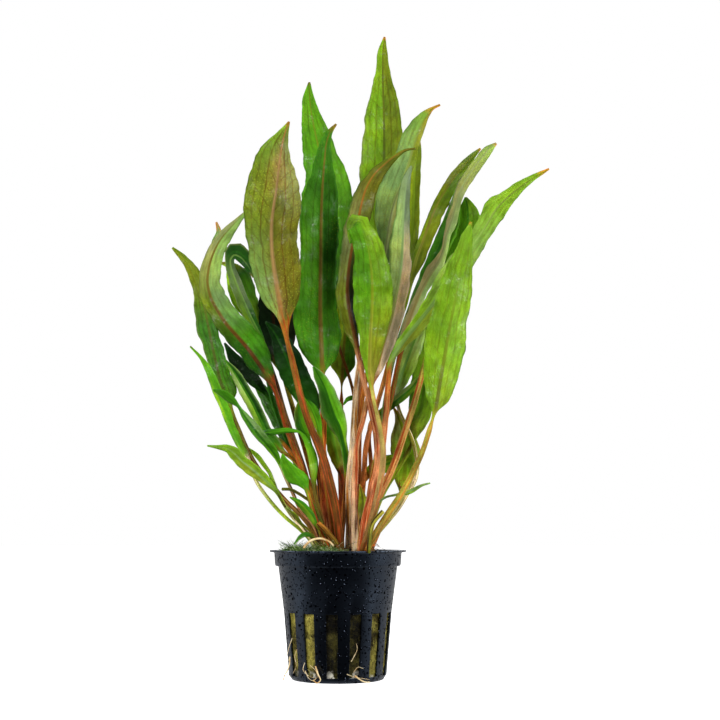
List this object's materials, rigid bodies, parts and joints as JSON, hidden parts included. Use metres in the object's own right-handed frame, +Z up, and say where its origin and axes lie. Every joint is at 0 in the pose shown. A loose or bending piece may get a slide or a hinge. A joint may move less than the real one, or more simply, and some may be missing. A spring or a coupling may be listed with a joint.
{
  "type": "potted cryptocoryne",
  "caption": "Aquarium plant with upright lance-shaped leaves on long stalks, rooted in mineral wool in a round black slotted net pot.",
  "frame": {"origin": "centre of the pot's underside, on the surface it stands on", "axes": "+Z up, +X to the right and +Y away from the viewer when the large bronze leaf is in front"},
  "size_m": [0.1446, 0.0804, 0.2638],
  "materials": {
    "pot": "black moulded plastic with a slight sheen",
    "wool": "stained mineral wool",
    "moss": "moss and fine roots",
    "crown": "brown rootstock",
    "root": "cream root",
    "bright": "bright green leaf",
    "light": "light green leaf underside",
    "dark": "dark green leaf",
    "olive": "olive leaf",
    "bronze": "bronze leaf underside",
    "grey_green": "grey-green leaf underside",
    "petiole": "orange-brown stalk"
  },
  "bodies": {
    "root": {"pot": "pot", "wool_plug": "wool", "moss_cushion": "moss", "crown": "crown", "root_arched": "root", "rootlet_left": "root", "rootlet_front": "root", "rootlet_right": "root", "leaf_tallest": "bright", "leaf_olive_back": "olive", "leaf_green_back": "bright", "leaf_olive_centre": "olive", "leaf_shaded_left": "dark", "leaf_shaded_outer_left": "dark", "leaf_curled_left_back": "light", "leaf_yellow_left": "bright", "leaf_deep_shade_left": "dark", "leaf_bent_left": "dark", "leaf_drooping_right": "olive", "leaf_small_right": "bright", "leaf_wavy_right": "olive", "leaf_green_right_back": "dark", "leaf_narrow_right": "dark", "leaf_dark_right": "dark", "leaf_arching_right": "olive", "leaf_dark_slender_right": "dark", "leaf_pink_wavy_right": "grey_green", "leaf_yellow_small_left": "bright", "leaf_thread_left": "bright", "leaf_outer_left": "olive", "leaf_edged_left": "dark", "leaf_curved_left": "light", "leaf_broad_shaded": "dark", "leaf_grass_right": "bright", "leaf_shaded_centre": "olive", "leaf_dark_front": "dark", "leaf_light_behind_bronze": "bright", "leaf_beside_bronze": "dark", "leaf_arch_left": "dark", "leaflet_centre": "bright", "leaf_folded_front": "dark", "leaf_grey_tip_orange": "grey_green", "leaf_pink_underside": "grey_green", "leaflet_front": "olive", "leaf_bronze_right": "bronze", "leaf_big_right": "light", "leaf_rounded_front": "light", "leaf_broad_right": "light", "leaf_bright_outer_left": "bright", "leaf_twisted_left": "dark", "leaf_low_left": "light", "stub_left": "olive", "leaf_ovate_left": "bright", "leaf_slim_left": "dark", "leaf_tiny_left": "olive", "leaf_arching_low_left": "dark", "leaf_bronze_front": "bronze", "stub_front": "petiole", "stub_right": "petiole"}
  },
  "joints": []
}
